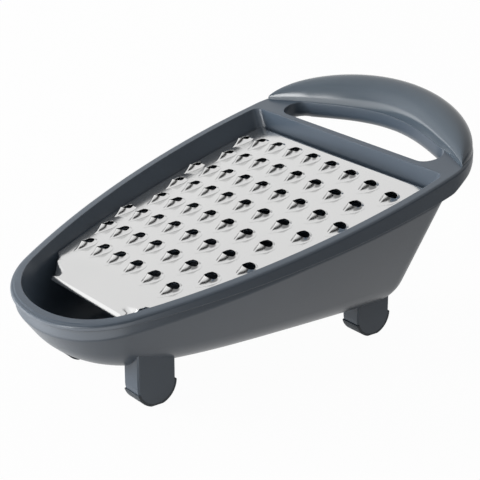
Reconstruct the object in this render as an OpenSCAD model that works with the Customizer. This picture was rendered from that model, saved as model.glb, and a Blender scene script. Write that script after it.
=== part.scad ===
// Hand grater that stands on its own collecting tub.
// The origin is on the ground at the middle of the whole object, +Y points to the handle, +Z up.

/* [Overall] */
// Length from the nose of the rim to the end of the handle
overall_length = 195; // [180:1:215]
// Width of the rim at its widest
overall_width = 131; // [122:1:142]
// Height of the rim above the ground, measured at the middle of the length
rim_mid_z = 62.4; // [58:0.2:68]
// Angle at which the rim climbs towards the handle
rim_tilt = 14.4; // [12:0.1:16]

/* [Rim] */
// Width of the flat top of the rim
rim_w = 4.5; // [4:0.1:5.5]
// Rounding of the rim's outer top edge
rim_round = 1.2; // [0.6:0.1:1.6]
// Height of the rim's skirt at the nose
skirt_nose_h = 2; // [1.8:0.1:3]
// Height of the rim's skirt at the rear, which is also the depth of the loop's front
skirt_rear_h = 8.2; // [7.6:0.1:9]
// Depth below the rim at which the tub's wall starts to slope
break_depth = 7; // [6:0.1:7.5]
// How far the tub's wall stands back behind the skirt
skirt_step = 1.5; // [1:0.1:2]

/* [Tub] */
// Height of the tub's underside above the ground
base_z = 14.2; // [13:0.2:16]
// Half width of the tub's base
base_half_w = 36.4; // [34:0.2:38]
// How far the nose of the base stands back behind the nose of the rim
base_nose_back = 13.5; // [10:0.5:18]
// Wall of the tub at its base
wall = 2.2; // [1.8:0.1:2.8]
// Thickness of the tub's floor
floor_t = 2.4; // [2:0.1:3]
// Thickness of the rear wall, whose top is the bar between the tub and the hand slot
rear_wall = 2.6; // [2.2:0.1:3.2]
// Rounding between the tub's walls and its base
base_round = 13; // [10:0.5:15]
// Radius of the inner corners beside the rear wall
corner_r = 4; // [3:0.5:5]
// Radius of the outer corners beside the rear wall
wall_corner_r = 9; // [7:0.5:10]

/* [Handle] */
// Distance from the rear wall to the end of the handle loop
handle_reach = 37.1; // [34:0.5:42]
// Half width of the hand slot
slot_half_w = 48.2; // [44:0.2:50]
// Depth of the hand slot at its middle
slot_depth = 21.4; // [19:0.2:23]
// Radius of the hand slot's ends
slot_end_r = 6.3; // [5.5:0.1:7]
// Depth of the loop at its rear end
loop_rear_h = 6.2; // [5.5:0.1:8]
// Rounding under the loop's outer edge
loop_round = 3; // [2:0.2:4]
// Height of the cover's crown above the loop
cover_crown = 11; // [8:0.2:12]
// Wall of the cover
cover_wall = 2; // [1.6:0.1:2.4]
// Radius of the cover's pegs
peg_r = 2; // [1.6:0.1:2.3]
// Length of the cover's pegs below the seam
peg_l = 4.2; // [3:0.1:4.4]
// Clearance round each peg
peg_gap = 0.1; // [0.05:0.01:0.15]

/* [Plate] */
// Thickness of the steel sheet
sheet_t = 0.8; // [0.6:0.05:1]
// Radius of the sheet's arch across its width
arch_r = 262; // [240:2:300]
// Angle at which the sheet climbs towards the handle
sheet_tilt = 14.75; // [13:0.05:16]
// Height of the sheet's crown below the rim, at the middle tooth row
crown_depth = 1.3; // [1.1:0.1:2.5]
// Clearance between the plate's long edges and the tub's leaning wall
side_gap = 0.5; // [0.4:0.05:0.8]
// Angle of the front tab below the sheet
tab_angle = 16.5; // [14:0.5:19]
// Gap between the front lip and the inside of the rim's nose
lip_gap = 20.1; // [16:0.1:24]
// Length of the front tab
tab_l = 13.6; // [12:0.2:15]
// Gap between each end of the front lip and the inside of the rim
lip_side_gap = 11; // [9:0.2:13]
// Length of the front lip
lip_h = 1.9; // [1.4:0.1:3]
// Angle of the front lip below the tab
lip_angle = 30; // [20:1:60]
// Length of the rear flange, measured along the sheet
flange_run = 8.4; // [7:0.1:10]
// Angle of the rear flange below the sheet
flange_angle = 38.5; // [36:0.5:41]
// Gap between the rear flange and the rear wall
flange_gap = 1.3; // [1:0.1:1.6]
// Clearance under the sheet where it lies on its ledges
seat_gap = 0.3; // [0.25:0.05:0.4]
// Width of the ledges
ledge_w = 3; // [2.4:0.1:3.4]
// Height of the ledges' sloping underside
ledge_h = 4; // [3:0.2:5]

/* [Teeth] */
// Distance between teeth across the plate
tooth_pitch = 12; // [11.6:0.1:12.2]
// Distance between rows of teeth
row_pitch = 13.67; // [13.2:0.01:13.9]
// Half width of a tooth's opening
opening_half_w = 2.7; // [2.4:0.05:2.9]
// Distance from the opening's centre to its round rear edge
opening_rear = 1.9; // [1.6:0.1:2.3]
// Length of the opening's point in front of its centre
opening_point = 3.8; // [3.4:0.1:4.4]
// Width of the raised slope round a tooth's opening
tooth_flank = 1; // [0.9:0.05:1.2]
// Length of the ramp in front of a tooth
ramp_l = 8.2; // [7:0.2:9]
// Height of the opening's rear edge above the sheet
tooth_rear_h = 1; // [0.8:0.1:1.3]
// Height of the opening's front point above the sheet
tooth_front_h = 2.2; // [1.9:0.1:2.5]
// Wall of a tooth round its opening
tooth_wall = 0.5; // [0.4:0.05:0.7]

/* [Feet] */
// Outer radius of a foot's round edge
foot_r = 9.2; // [8:0.1:10]
// Thickness of a foot tongue
foot_t = 10; // [9:0.1:11]
// Distance from the middle to the outer face of each foot
foot_out = 31.6; // [30:0.2:33]
// Distance from the nose of the base to the front feet
front_foot_back = 23; // [20:0.2:27]
// Distance from the rear wall's outer face to the rear feet
rear_foot_ahead = 11.4; // [10:0.2:15]
// Thickness of the rubber sole
sole_t = 1.4; // [1:0.1:2]
// How far the sole stands proud of the tongue
sole_proud = 0.4; // [0.2:0.1:0.6]
// Height of the sole's front end
sole_front_h = 6; // [5.5:0.1:8]
// Height of the sole's rear end
sole_rear_h = 11.2; // [10:0.2:12]
// Depth of the flat that the sole rests on
sole_flat = 0.4; // [0.2:0.05:0.6]

/* [Hidden] */

$fn = 64;
// Length by which every cut overruns the face it starts from
over = 1;

half_l = overall_length/2;
// Distance of the middle tooth row in front of the object's middle, as a share of the length
sheet_mid_share = 0.0308;
sheet_mid_y = -overall_length*sheet_mid_share;
// Ledges run between these places
ledge_rear_y = 44;
ledge_front_y = -56;
half_w = overall_width/2;
base_nose = half_l - base_nose_back;
rear_out_y = half_l - handle_reach;
rear_in_y = rear_out_y - rear_wall;
front_foot_y = base_nose - front_foot_back;
rear_foot_y = rear_out_y - rear_foot_ahead;
nose_in = half_l - rim_w;
side_in = half_w - rim_w;
floor_z = base_z + floor_t;

// Outlines run from the rear corner to the nose as two curves of four points each.
// The points are shares of the outline's half width and of its distance to the nose.
rim_side_shares = [[0.993, 0], [1.036, 0.215], [0.934, -0.323], [0.579, -0.801]];
rim_nose_shares = [[0.579, -0.801], [0.5, -0.908], [0.311, -1], [0, -1]];
base_side_shares = [[0.96, 0], [1.07, 0.121], [1.02, -0.424], [0.71, -0.824]];
base_nose_shares = [[0.71, -0.824], [0.623, -0.92], [0.362, -1], [0, -1]];
side_steps = 12;
nose_steps = 6;
corner_steps = 4;

function mix2(a, b, s) = a + (b - a)*s;
function bez(p, t) = p[0]*pow(1 - t, 3) + 3*p[1]*t*pow(1 - t, 2) + 3*p[2]*t*t*(1 - t) + p[3]*pow(t, 3);
function bez_dir(p, t) =
    let(d = (p[1] - p[0])*pow(1 - t, 2) + 2*(p[2] - p[1])*t*(1 - t) + (p[3] - p[2])*t*t) d/norm(d);
function beside(p, t, off) = let(d = bez_dir(p, t)) bez(p, t) + [-d[1], d[0]]*off;

// A side curve and a nose curve in millimetres, whose rear end lies at y = rear
function side_curve(shares, w, nose, rear) =
    [for (i = [0:3]) [shares[i][0]*w, i == 0 ? rear : shares[i][1]*nose]];
function nose_curve(shares, w, nose) = [for (s = shares) [s[0]*w, s[1]*nose]];

rim_side = side_curve(rim_side_shares, side_in, nose_in, rear_in_y);
rim_nose = nose_curve(rim_nose_shares, side_in, nose_in);
// Half width inside the rim at places along the length
rim_places = concat(
    [for (k = [0:nose_steps]) let(p = bez(rim_nose, 1 - k/nose_steps)) [p[1], p[0]]],
    [for (k = [1:side_steps]) let(p = bez(rim_side, 1 - k/side_steps)) [p[1], p[0]]]);
lip_half_w = lookup(lip_gap - nose_in, rim_places) - lip_side_gap;

// Right half of an outline, from the rear corner to the nose, moved outwards by off
function half_outline(side, nose, off, r, rear) = concat(
    [for (i = [0:corner_steps])
        let(a = 90*(1 - i/corner_steps), c = [side[0][0] + off - r, rear - r])
        c + r*[cos(a), sin(a)]],
    [for (i = [1:side_steps]) let(p = beside(side, i/side_steps, off)) [p[0], min(p[1], rear - r)]],
    [for (i = [1:nose_steps]) let(p = beside(nose, i/nose_steps, off)) i == nose_steps ? [0, p[1]] : p]);

function whole(half) = concat(half, [for (i = [len(half) - 2:-1:0]) [-half[i][0], half[i][1]]]);

lip_corner_share = 0.8;
wall_rear_share = 0.2;
lip_corner_r = rear_wall*lip_corner_share;
outer_line = whole(half_outline(rim_side, rim_nose, rim_w, lip_corner_r, rear_out_y));
wall_rear_y = rear_out_y - rear_wall*wall_rear_share;
wall_line = whole(half_outline(rim_side, rim_nose, rim_w - skirt_step, wall_corner_r, wall_rear_y));
inner_line = whole(half_outline(rim_side, rim_nose, 0, corner_r, rear_in_y));

function base_line(inset, rear, r) = whole(half_outline(
    side_curve(base_side_shares, base_half_w - inset, base_nose - inset, rear),
    nose_curve(base_nose_shares, base_half_w - inset, base_nose - inset), 0, r, rear));

base_out = base_line(0, rear_out_y, wall_corner_r);
base_in = base_line(wall, rear_in_y, wall_corner_r - wall);
line_n = len(outer_line);

function rim_z(y) = rim_mid_z + y*tan(rim_tilt);
// Depth of the skirt below the rim at a place along the length
function skirt_h(y) = mix2(skirt_nose_h, skirt_rear_h, (y + half_l)/(rear_out_y + half_l));

// The sheet's own frame: u runs across, v runs towards the handle, n stands off the sheet
function arch(u) = -u*u/(2*arch_r);
// Gap between the plate's long edges and the inside of the rim, which the wall's lean takes up
plate_gap = side_gap + (side_in - base_half_w + wall)*(crown_depth - arch(side_in))/(rim_mid_z - floor_z);
function sheet_z() = rim_z(sheet_mid_y) - crown_depth;
function from_sheet(u, v, n) = [u, sheet_mid_y + v*cos(sheet_tilt) - n*sin(sheet_tilt),
    sheet_z() + v*sin(sheet_tilt) + n*cos(sheet_tilt)];
// Place along the sheet, and height, of the sheet's top at a place in plan
function v_at(u, y) = (y - sheet_mid_y + arch(u)*sin(sheet_tilt))/cos(sheet_tilt);
function top_z(u, y) = from_sheet(u, v_at(u, y), arch(u))[2];

// Depth of the ledge below the rim, so that the sheet's long edge lies on it
function ledge_depth(p) =
    let(u = max(abs(p[0]) - plate_gap, 0))
    (rim_z(p[1]) - top_z(u, p[1]))*(p[1] < ledge_rear_y ? 1 : 0)
    + (rim_z(ledge_rear_y) - top_z(u, ledge_rear_y))*(p[1] < ledge_rear_y ? 0 : 1)
    + sheet_t/cos(sheet_tilt) + seat_gap;

// Rings of the tub's shell, from the inner floor over the rim to the underside
function ring_at(a, b, s, zs) = [for (i = [0:line_n - 1]) let(p = mix2(a[i], b[i], s)) [p[0], p[1], zs[i]]];
rim_zs = [for (p = inner_line) rim_z(p[1])];
function inner_pt(i, depth) =
    let(s = depth/(rim_z(inner_line[i][1]) - floor_z)) mix2(inner_line[i], base_in[i], s);
function towards_base(i) = let(d = base_in[i] - inner_line[i]) d/max(norm(d), over);
function ledge_on(i) = let(y = inner_line[i][1]) y > ledge_front_y && y < ledge_rear_y ? 1 : 0;

inner_wall = [for (i = [0:line_n - 1])
    let(d = ledge_depth(inner_line[i]), q = inner_pt(i, d)) [q[0], q[1], rim_zs[i] - d]];
ledge_foot = [for (i = [0:line_n - 1])
    let(d = ledge_depth(inner_line[i]) + ledge_h, q = inner_pt(i, d)) [q[0], q[1], rim_zs[i] - d]];
ledge_edge = [for (i = [0:line_n - 1])
    let(q = inner_wall[i], e = towards_base(i)*ledge_w) ledge_on(i) == 1 ? [q[0] + e[0], q[1] + e[1], q[2]]
        : mix2(q, ledge_foot[i], 1/2)];

// A rounding between a wall that runs down a line of points and a floor at height z
function toe(top, foot, z, r, s) = [for (i = [0:line_n - 1])
    let(k = [foot[i][0], foot[i][1], z], t = top[i], up = (t - k)/norm(t - k)*r,
        to_mid = [-k[0], -k[1], 0], m = to_mid/max(norm(to_mid), over)*r)
    k + up*pow(1 - s, 2) + m*pow(s, 2)];
skirt_foot = [for (i = [0:line_n - 1]) let(p = outer_line[i]) [p[0], p[1], rim_z(p[1]) - skirt_h(p[1])]];
wall_top = [for (i = [0:line_n - 1]) [wall_line[i][0], wall_line[i][1], skirt_foot[i][2]]];
wall_break = [for (q = wall_line)
    [q[0], q[1], rim_z(q[1]) - max(break_depth, skirt_h(q[1]) + skirt_step)]];

toe_shares = [0, 0.25, 0.5, 0.75, 1];
function inner_toe(s) = toe(ledge_foot, base_in, floor_z, base_round - wall, s);
function outer_toe(s) = toe(wall_break, base_out, base_z, base_round, s);
shell_rings = concat(
    [for (k = [len(toe_shares) - 1:-1:0]) inner_toe(toe_shares[k])],
    [
    ledge_foot, ledge_edge, inner_wall,
    ring_at(inner_line, inner_line, 0, rim_zs),
    [for (i = [0:line_n - 1])
        let(q = mix2(outer_line[i], inner_line[i], rim_round/rim_w)) [q[0], q[1], rim_z(q[1])]],
    [for (p = outer_line) [p[0], p[1], rim_z(p[1]) - rim_round]],
    skirt_foot, wall_top, wall_break],
    [for (s = toe_shares) outer_toe(s)]);

// Rings in the middle of the tub's wall, where the foot tongues end
function half_way(a, b) = [for (i = [0:line_n - 1]) mix2(a[i], b[i], 1/2)];
tongue_top = base_z + base_round;
function level(a, b, z) = mix2(a, b, (z - a[2])/(b[2] - a[2]));
mid_foot = half_way(inner_toe(0), outer_toe(0));
mid_wall = half_way(ledge_foot, wall_break);
mid_rings = concat([[for (i = [0:line_n - 1]) level(mid_foot[i], mid_wall[i], tongue_top + over)]],
    [for (s = toe_shares) half_way(inner_toe(s), outer_toe(s))]);

// A closed solid through a list of rings of equal length
module loft(rings) {
    n = len(rings[0]);
    m = len(rings);
    polyhedron(
        points = [for (r = rings) each r],
        faces = concat(
            [[for (i = [0:n - 1]) i]],
            [for (j = [0:m - 2], i = [0:n - 1]) let(a = j*n + i, b = j*n + (i + 1) % n) each
                [[a, a + n, b], [b, a + n, b + n]]],
            [[for (i = [n - 1:-1:0]) (m - 1)*n + i]]),
        convexity = 8);
}

// Stands its child on the rim's plane
module on_rim(spot) {
    translate([spot[0], spot[1], rim_z(spot[1])]) children();
}

// Handle loop: half an ellipse behind the rear wall
loop_steps = 28;
loop_round_share = 0.3;
// Angle round the loop at which the cover's tips end
tip_angle = 11.3;
loop_half_w = rim_side[0][0] + rim_w;
loop_y = rear_out_y - lip_corner_r;
function loop_pt(a, inset) = [(loop_half_w - inset)*cos(a), loop_y + (half_l - loop_y - inset)*sin(a)];
function loop_depth(y) = mix2(skirt_rear_h, loop_rear_h, (y - loop_y)/(half_l - loop_y));
// The loop's top edge is rounded like the rim's as far as the cover's tips
seam_round = 0.2;
function edge_inset(a) = max(rim_round*(1 - min(a, 180 - a)/tip_angle), seam_round);
loop_top = [for (i = [0:loop_steps])
    let(a = 180*i/loop_steps, q = loop_pt(a, edge_inset(a))) [q[0], q[1], rim_z(q[1])]];
loop_edge = [for (i = [0:loop_steps])
    let(a = 180*i/loop_steps, q = loop_pt(a, 0)) [q[0], q[1], rim_z(q[1]) - edge_inset(a)]];
function loop_ring(inset, up) = [for (i = [0:loop_steps])
    let(q = loop_pt(180*i/loop_steps, inset)) [q[0], q[1], rim_z(q[1]) - loop_depth(q[1]) + up]];

// Hand slot: straight in front, curved behind, with round ends
slot_curve_w = slot_half_w - slot_end_r;
slot_fall = slot_depth - 2*slot_end_r;
slot_flat_share = 0.26;
slot_steps = 8;
function slot_y(x) = let(s = x/slot_curve_w)
    rear_out_y + slot_depth - slot_fall*((1 + slot_flat_share)*s*s - slot_flat_share*pow(s, 4));
slot_edge = [for (i = [-slot_steps:slot_steps]) let(x = slot_curve_w*i/slot_steps) [x, slot_y(x)]];
module slot_hole() {
    translate([0, 0, base_z]) {
        linear_extrude(height = overall_length)
            polygon(concat([[-slot_curve_w, rear_out_y]], slot_edge, [[slot_curve_w, rear_out_y]]));
        for (side = [-1, 1])
            translate([side*slot_curve_w, rear_out_y + slot_end_r])
                cylinder(r = slot_end_r, h = overall_length);
    }
}

module loop() {
    difference() {
        loft([
            loop_ring(loop_round, 0),
            loop_ring(loop_round*loop_round_share, loop_round*loop_round_share),
            loop_ring(0, loop_round),
            loop_edge,
            loop_top]);
        slot_hole();
    }
}

// A foot's outline seen from the side: a half round below a straight block
foot_z = foot_r - sole_flat;
module foot_side(r, top) {
    translate([0, foot_z]) circle(r = r);
    translate([-r, foot_z]) square([2*r, top - foot_z]);
}
// Stands a side outline up across a foot at a distance along the length
module across_foot(y) {
    translate([-foot_t/2, y, 0]) rotate([90, 0, 90]) linear_extrude(height = foot_t) children();
}
// The part of a side outline that the sole covers: below a line that rises to the rear
module sole_zone(low = 0) {
    reach = 2*foot_r;
    climb = (sole_rear_h - sole_front_h)/2;
    mid_h = (sole_rear_h + sole_front_h)/2;
    polygon([[-reach, -low], [reach, -low], [reach, mid_h + 2*climb], [-reach, mid_h - 2*climb]]);
}
module tongue(y) {
    across_foot(y) {
        foot_side(foot_r - sole_t, tongue_top);
        difference() {
            foot_side(foot_r - sole_proud, tongue_top);
            sole_zone(over);
        }
    }
}
module sole(side, y) {
    translate([side*foot_x, 0, 0]) across_foot(y) intersection() {
        difference() {
            foot_side(foot_r, base_z);
            foot_side(foot_r - sole_t, base_z + over);
        }
        sole_zone();
    }
}
foot_x = foot_out - foot_t/2;

// Handle cover: arches from the inner to the outer edge of a crescent, one behind the other
cover_steps = 20;
arch_steps = 8;
tip_h = 1.5;
tip_w = 1.6;
tip_drop = 3;
tip_inset = 1.2;
tip_share = 0.1;
cover_inset = 0.3;
crown_power = 0.8;
tip_power = 0.7;
function cover_out(s) =
    loop_pt(mix2(tip_angle, 180 - tip_angle, s), mix2(tip_inset, cover_inset, min(min(s, 1 - s)/tip_share, 1)));
function cover_in(s) =
    let(e = cover_out(0)[0] - tip_w, x = mix2(e, -e, s),
        past = max(abs(x) - slot_curve_w, 0)/(e - slot_curve_w))
    [x, slot_y(x) + cover_inset - tip_drop*past*past];
function crown_at(s) = mix2(tip_h, cover_crown, pow(max(1 - pow(2*s - 1, 2), 0), tip_power));
function cover_mid(s) = (cover_out(s) + cover_in(s))/2;
function cover_pt(s, a, inset) =
    let(o = cover_out(s), w = norm(o - cover_in(s))/2, d = (o - cover_mid(s))/w,
        ww = max(w - inset, w/2), q = cover_mid(s) + d*ww*cos(a))
    [q[0], q[1], rim_z(q[1]) + (crown_at(s) - inset)*pow(max(sin(a), 0), crown_power)];
function cover_arch(s, inset) = [for (k = [0:arch_steps]) cover_pt(s, 180*k/arch_steps, inset)];
// The hollow runs on below the seam, and stops this many arches short of each tip
tip_steps = 2;
function hollow_arch(s) = [for (k = [0:arch_steps])
    cover_pt(s, 180*k/arch_steps, cover_wall) - [0, 0, k % arch_steps == 0 ? over : 0]];

// Pegs stand in the middle of the crescent, at these shares of its length
peg_shares = [0.17, 0.5, 0.83];
peg_lead = 0.5;
peg_turn = 25;
// Each peg runs from below the seam up into the middle of the crown's wall
module pegs(r, l, in_crown = 0) {
    for (s = peg_shares) on_rim(cover_mid(s)) translate([0, 0, -l]) rotate([0, 0, peg_turn])
        cylinder(r = r, h = l + over + in_crown*(crown_at(s) - over - cover_wall/2));
}

// Shelf under the edge of the plate's rear flange
shelf_w = 3;
shelf_half_share = 0.6;
flange_end_y = rear_in_y - flange_gap;
flange_start = (flange_end_y - sheet_mid_y)/cos(sheet_tilt)
    - flange_run*(1 + tan(flange_angle)*tan(sheet_tilt));
function flange_end_v() = flange_start + flange_run;
function flange_n(v) = -(v - flange_start)*tan(flange_angle);
function flange_end_z() = from_sheet(0, flange_end_v(), flange_n(flange_end_v()))[2];
module rear_shelf() {
    w = half_w*shelf_half_share;
    top = flange_end_z() - sheet_t - seat_gap - shelf_w*tan(flange_angle - sheet_tilt);
    translate([-w, rear_in_y - shelf_w, top - shelf_w]) cube([2*w, shelf_w + over, shelf_w]);
}

module tub() {
    color("slategray") difference() {
        union() {
            loft(shell_rings);
            loop();
            difference() {
                for (side = [-1, 1], y = [-front_foot_y, rear_foot_y]) translate([side*foot_x, 0, 0]) tongue(y);
                loft(mid_rings);
            }
            rear_shelf();
        }
        pegs(peg_r + peg_gap, peg_l + peg_lead);
    }
}

module handle_cover() {
    color("lightslategray") {
        difference() {
            loft([for (i = [cover_steps:-1:0]) cover_arch(i/cover_steps, 0)]);
            loft([for (i = [cover_steps - tip_steps:-1:tip_steps]) hollow_arch(i/cover_steps)]);
        }
        pegs(peg_r, peg_l, 1);
    }
}

// Sheet of the plate: rows of points across it, from the front lip to the rear flange
cols = 8;
front_bend = 1/(2*arch_r*tan(tab_angle));
rear_bend = 1/(2*arch_r*tan(flange_angle));
function sheet_row(w, v0, bend, v_flat, fall) = [for (j = [-cols:cols])
    let(u = w*j/cols, v = v0 + bend*u*u, n = v_flat == 0 ? arch(u) : -abs(v - v_flat)*fall)
    [u, v, n]];
function skin(row, t) = [for (q = row) from_sheet(q[0], q[1], q[2] - t)];
function strip(row) = concat(skin(row, 0), [for (k = [len(row) - 1:-1:0]) skin(row, sheet_t)[k]]);

// The tab starts where its lip then ends at the named gap behind the nose
lip_run = tab_l*cos(tab_angle) + lip_h*cos(tab_angle + lip_angle);
lip_drop = lip_run*tan(tab_angle) + lip_h*sin(lip_angle);
tab_start = (nose_in - lip_gap + sheet_mid_y + lip_drop*sin(sheet_tilt))/cos(sheet_tilt) - lip_run;
tab_end = -tab_start - tab_l*cos(tab_angle);
lip_end = -tab_start - lip_run;
flange_v = flange_end_v();
flange_half_w = rim_side[0][0] - plate_gap;
corner_cut = 3;
crease_share = 1.25;
crease_half_w = lip_half_w*crease_share;
side_shares = [0.9, 0.8, 0.685, 0.535, 0.405, 0.265, 0.13];
plate_rows = concat(
    [[for (q = sheet_row(lip_half_w, lip_end, 0, -tab_start, tan(tab_angle)))
        q - [0, 0, lip_h*sin(lip_angle)]],
     sheet_row(lip_half_w, tab_end, 0, -tab_start, tan(tab_angle)),
     sheet_row(crease_half_w, -tab_start, -front_bend, 0, 0)],
    [for (t = side_shares)
        let(p = bez(rim_side, t), w = p[0] - plate_gap) sheet_row(w, v_at(w, p[1]), 0, 0, 0)],
    [sheet_row(flange_half_w, flange_start, rear_bend, 0, 0),
     sheet_row(flange_half_w - corner_cut, flange_v, 0, flange_start, tan(flange_angle))]);

// A tooth's outline: round behind, drawn out to a point in front
tooth_sides = 10;
point_pinch_share = 0.25;
function tooth_line(half_w, rear, point) = [for (i = [0:tooth_sides - 1])
    let(a = 360*i/tooth_sides, front = min(sin(a), 0))
    [half_w*cos(a)*(1 + point_pinch_share*front), sin(a) > 0 ? rear*sin(a) : point*sin(a)]];
function opening_line(off, point) = tooth_line(opening_half_w + off, opening_rear + off, point);
tooth_lean = atan((tooth_front_h - tooth_rear_h)/(opening_rear + opening_point));
// A solid between an outline on the sheet and an outline on the tooth's leaning top, built with the top level
function leaning(x, y, z) = [x, y*cos(tooth_lean) - z*sin(tooth_lean), y*sin(tooth_lean) + z*cos(tooth_lean)];
module tooth_solid(foot, top, low, high) {
    level = leaning(0, opening_rear, high)[2];
    rotate([-tooth_lean, 0, 0]) hull() loft([
        [for (q = foot) leaning(q[0], q[1], low)],
        [for (q = top)
            let(p = leaning(q[0], q[1], high + (opening_rear - q[1])*tan(tooth_lean))) [p[0], p[1], level]]]);
}
module on_sheet(u, v) {
    a = asin(u/arch_r);
    translate(from_sheet(u, v, arch(u))) rotate([sheet_tilt, 0, 0]) rotate([0, a, 0]) children();
}
// Rows alternate between a tooth and a gap in the middle, and each is as full as the sheet's width allows
row_count = floor((tab_start + flange_start)/row_pitch);
tooth_edge = 5;
side_places = [for (k = [0:side_steps])
    let(p = bez(rim_side, 1 - k/side_steps), w = p[0] - plate_gap) [v_at(w, p[1]), w]];
function row_v(r) = ((row_count - 1)/2 - r)*row_pitch;
function teeth_in(r) =
    let(spare = r % 2, room = lookup(row_v(r), side_places) - tooth_edge)
    2*floor(room/tooth_pitch + spare/2) + 1 - spare;
// Thickness of the metal at the ramp's foot, measured along the sheet, as a share of the sheet's thickness
ramp_wall_share = 3;
teeth = [for (r = [0:row_count - 1], i = [0:teeth_in(r) - 1])
    [(i - (teeth_in(r) - 1)/2)*tooth_pitch, row_v(r)]];

module grater_plate() {
    color("gainsboro") difference() {
        union() {
            loft([for (row = plate_rows) strip(row)]);
            for (q = teeth) on_sheet(q[0], q[1]) tooth_solid(
                opening_line(tooth_flank, ramp_l),
                opening_line(tooth_wall, opening_point + tooth_wall),
                -sheet_t/2, tooth_rear_h);
        }
        for (q = teeth) on_sheet(q[0], q[1]) tooth_solid(
            opening_line(tooth_flank - sheet_t, ramp_l - ramp_wall_share*sheet_t),
            opening_line(0, opening_point),
            -sheet_t - over, tooth_rear_h + over);
    }
}

module foot_pad_front_right() {
    color("dimgray") sole(1, -front_foot_y);
}
module foot_pad_front_left() {
    color("dimgray") sole(-1, -front_foot_y);
}
module foot_pad_rear_right() {
    color("dimgray") sole(1, rear_foot_y);
}
module foot_pad_rear_left() {
    color("dimgray") sole(-1, rear_foot_y);
}

tub();
handle_cover();
grater_plate();
foot_pad_front_right();
foot_pad_front_left();
foot_pad_rear_right();
foot_pad_rear_left();
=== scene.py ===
import math

import bmesh
import bpy
from mathutils import Matrix, Vector


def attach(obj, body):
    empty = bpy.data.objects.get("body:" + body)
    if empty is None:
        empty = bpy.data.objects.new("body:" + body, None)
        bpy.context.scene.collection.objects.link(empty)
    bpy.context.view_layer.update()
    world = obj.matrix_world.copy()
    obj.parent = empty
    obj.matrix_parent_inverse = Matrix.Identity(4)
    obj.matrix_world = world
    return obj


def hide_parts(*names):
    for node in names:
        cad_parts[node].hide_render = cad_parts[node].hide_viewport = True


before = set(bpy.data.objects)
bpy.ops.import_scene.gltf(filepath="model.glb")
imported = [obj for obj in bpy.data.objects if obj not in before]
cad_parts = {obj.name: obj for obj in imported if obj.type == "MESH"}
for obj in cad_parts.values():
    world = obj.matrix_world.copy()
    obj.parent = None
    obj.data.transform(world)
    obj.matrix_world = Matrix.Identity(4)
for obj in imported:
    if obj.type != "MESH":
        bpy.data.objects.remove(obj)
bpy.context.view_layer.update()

# Tub. One moulding in glossy blue-grey plastic: a deep boat-shaped tub that collects the gratings,
# with a flat rim round its top, a short skirt under the rim and a loop behind it to hold it by.
# Sizes are in millimetres, and MM turns them into the frame's metres.
MM = 0.001
HALF_LENGTH, HALF_WIDTH = 97.5, 65.475
RIM_MIDDLE, RIM_SLOPE = 62.4, math.tan(math.radians(14.4))
RIM_WIDTH, RIM_ROUND, RIM_FLAT, RIM_CORNER = 4.5, 1.2, 0.5, 2.0
NOSE_IN, SIDE_IN = HALF_LENGTH - RIM_WIDTH, HALF_WIDTH - RIM_WIDTH
REAR_OUT, REAR_IN = 60.4, 57.8
BASE_HALF, BASE_NOSE, BASE_HEIGHT, FLOOR_HEIGHT, WALL = 36.4, 84.0, 14.2, 16.6, 2.2
SKIRT_NOSE, SKIRT_REAR, SKIRT_LOOP = 2.0, 8.2, 6.2
SKIRT_EDGE, LOOP_EDGE, LOOP_EDGE_FROM, LOOP_EDGE_TO = 0.4, 3.0, 56, 68
LOOP_SIDE, LOOP_START, LOOP_JOIN, LOOP_STEPS = 65.07, 58.32, 0.5, 64
CORNER_STEPS, SIDE_STEPS, NOSE_STEPS, REAR_STEPS, EDGE_STEPS, HALVINGS = 8, 48, 16, 10, 4, 30
WELD, DECIMALS = 0.002, 7

# control points as shares of half width and nose; None stands for the rear wall
RIM_SIDE_SHARES = ((0.993, None), (1.036, 0.215), (0.934, -0.323), (0.579, -0.801))
RIM_NOSE_SHARES = ((0.579, -0.801), (0.5, -0.908), (0.311, -1.0), (0.0, -1.0))
BASE_SIDE_SHARES = ((0.96, None), (1.07, 0.121), (1.02, -0.424), (0.71, -0.824))
BASE_NOSE_SHARES = ((0.71, -0.824), (0.623, -0.92), (0.362, -1.0), (0.0, -1.0))


def blend(a, b, share):
    return a + (b - a) * share


def ease(value, low, high):
    share = min(max((value - low) / (high - low), 0.0), 1.0)
    return share * share * (3 - 2 * share)


def rim_height(y):
    return RIM_MIDDLE + y * RIM_SLOPE


def skirt_depth(y):
    if y < REAR_OUT:
        return blend(SKIRT_NOSE, SKIRT_REAR, (y + HALF_LENGTH) / (REAR_OUT + HALF_LENGTH))
    return blend(SKIRT_REAR, SKIRT_LOOP, (y - LOOP_START) / (HALF_LENGTH - LOOP_START))


def curve_point(points, share):
    """A place on a curve of four control points, and the direction straight out of it"""
    rest = 1 - share
    weights = (rest**3, 3 * share * rest * rest, 3 * share * share * rest, share**3)
    place = sum((p * w for p, w in zip(points, weights)), Vector((0, 0)))
    first, second, third = (b - a for a, b in zip(points, points[1:]))
    slope = first * rest * rest + second * 2 * share * rest + third * share * share
    return place, Vector((-slope.y, slope.x)).normalized()


def control(shares, half, nose, rear):
    return [Vector((x * half, rear if y is None else y * nose)) for x, y in shares]


def mirrored(right):
    return right + [Vector((-p.x, p.y)) for p in reversed(right[:-1])]


def corner_share(side, out, end):
    """How far along the side the rear corner ends"""
    low, high = 0.0, 0.5
    for halving in range(HALVINGS):
        share = (low + high) / 2
        place, normal = curve_point(side, share)
        low, high = (share, high) if place.y + normal.y * out > end else (low, share)
    return low


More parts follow.
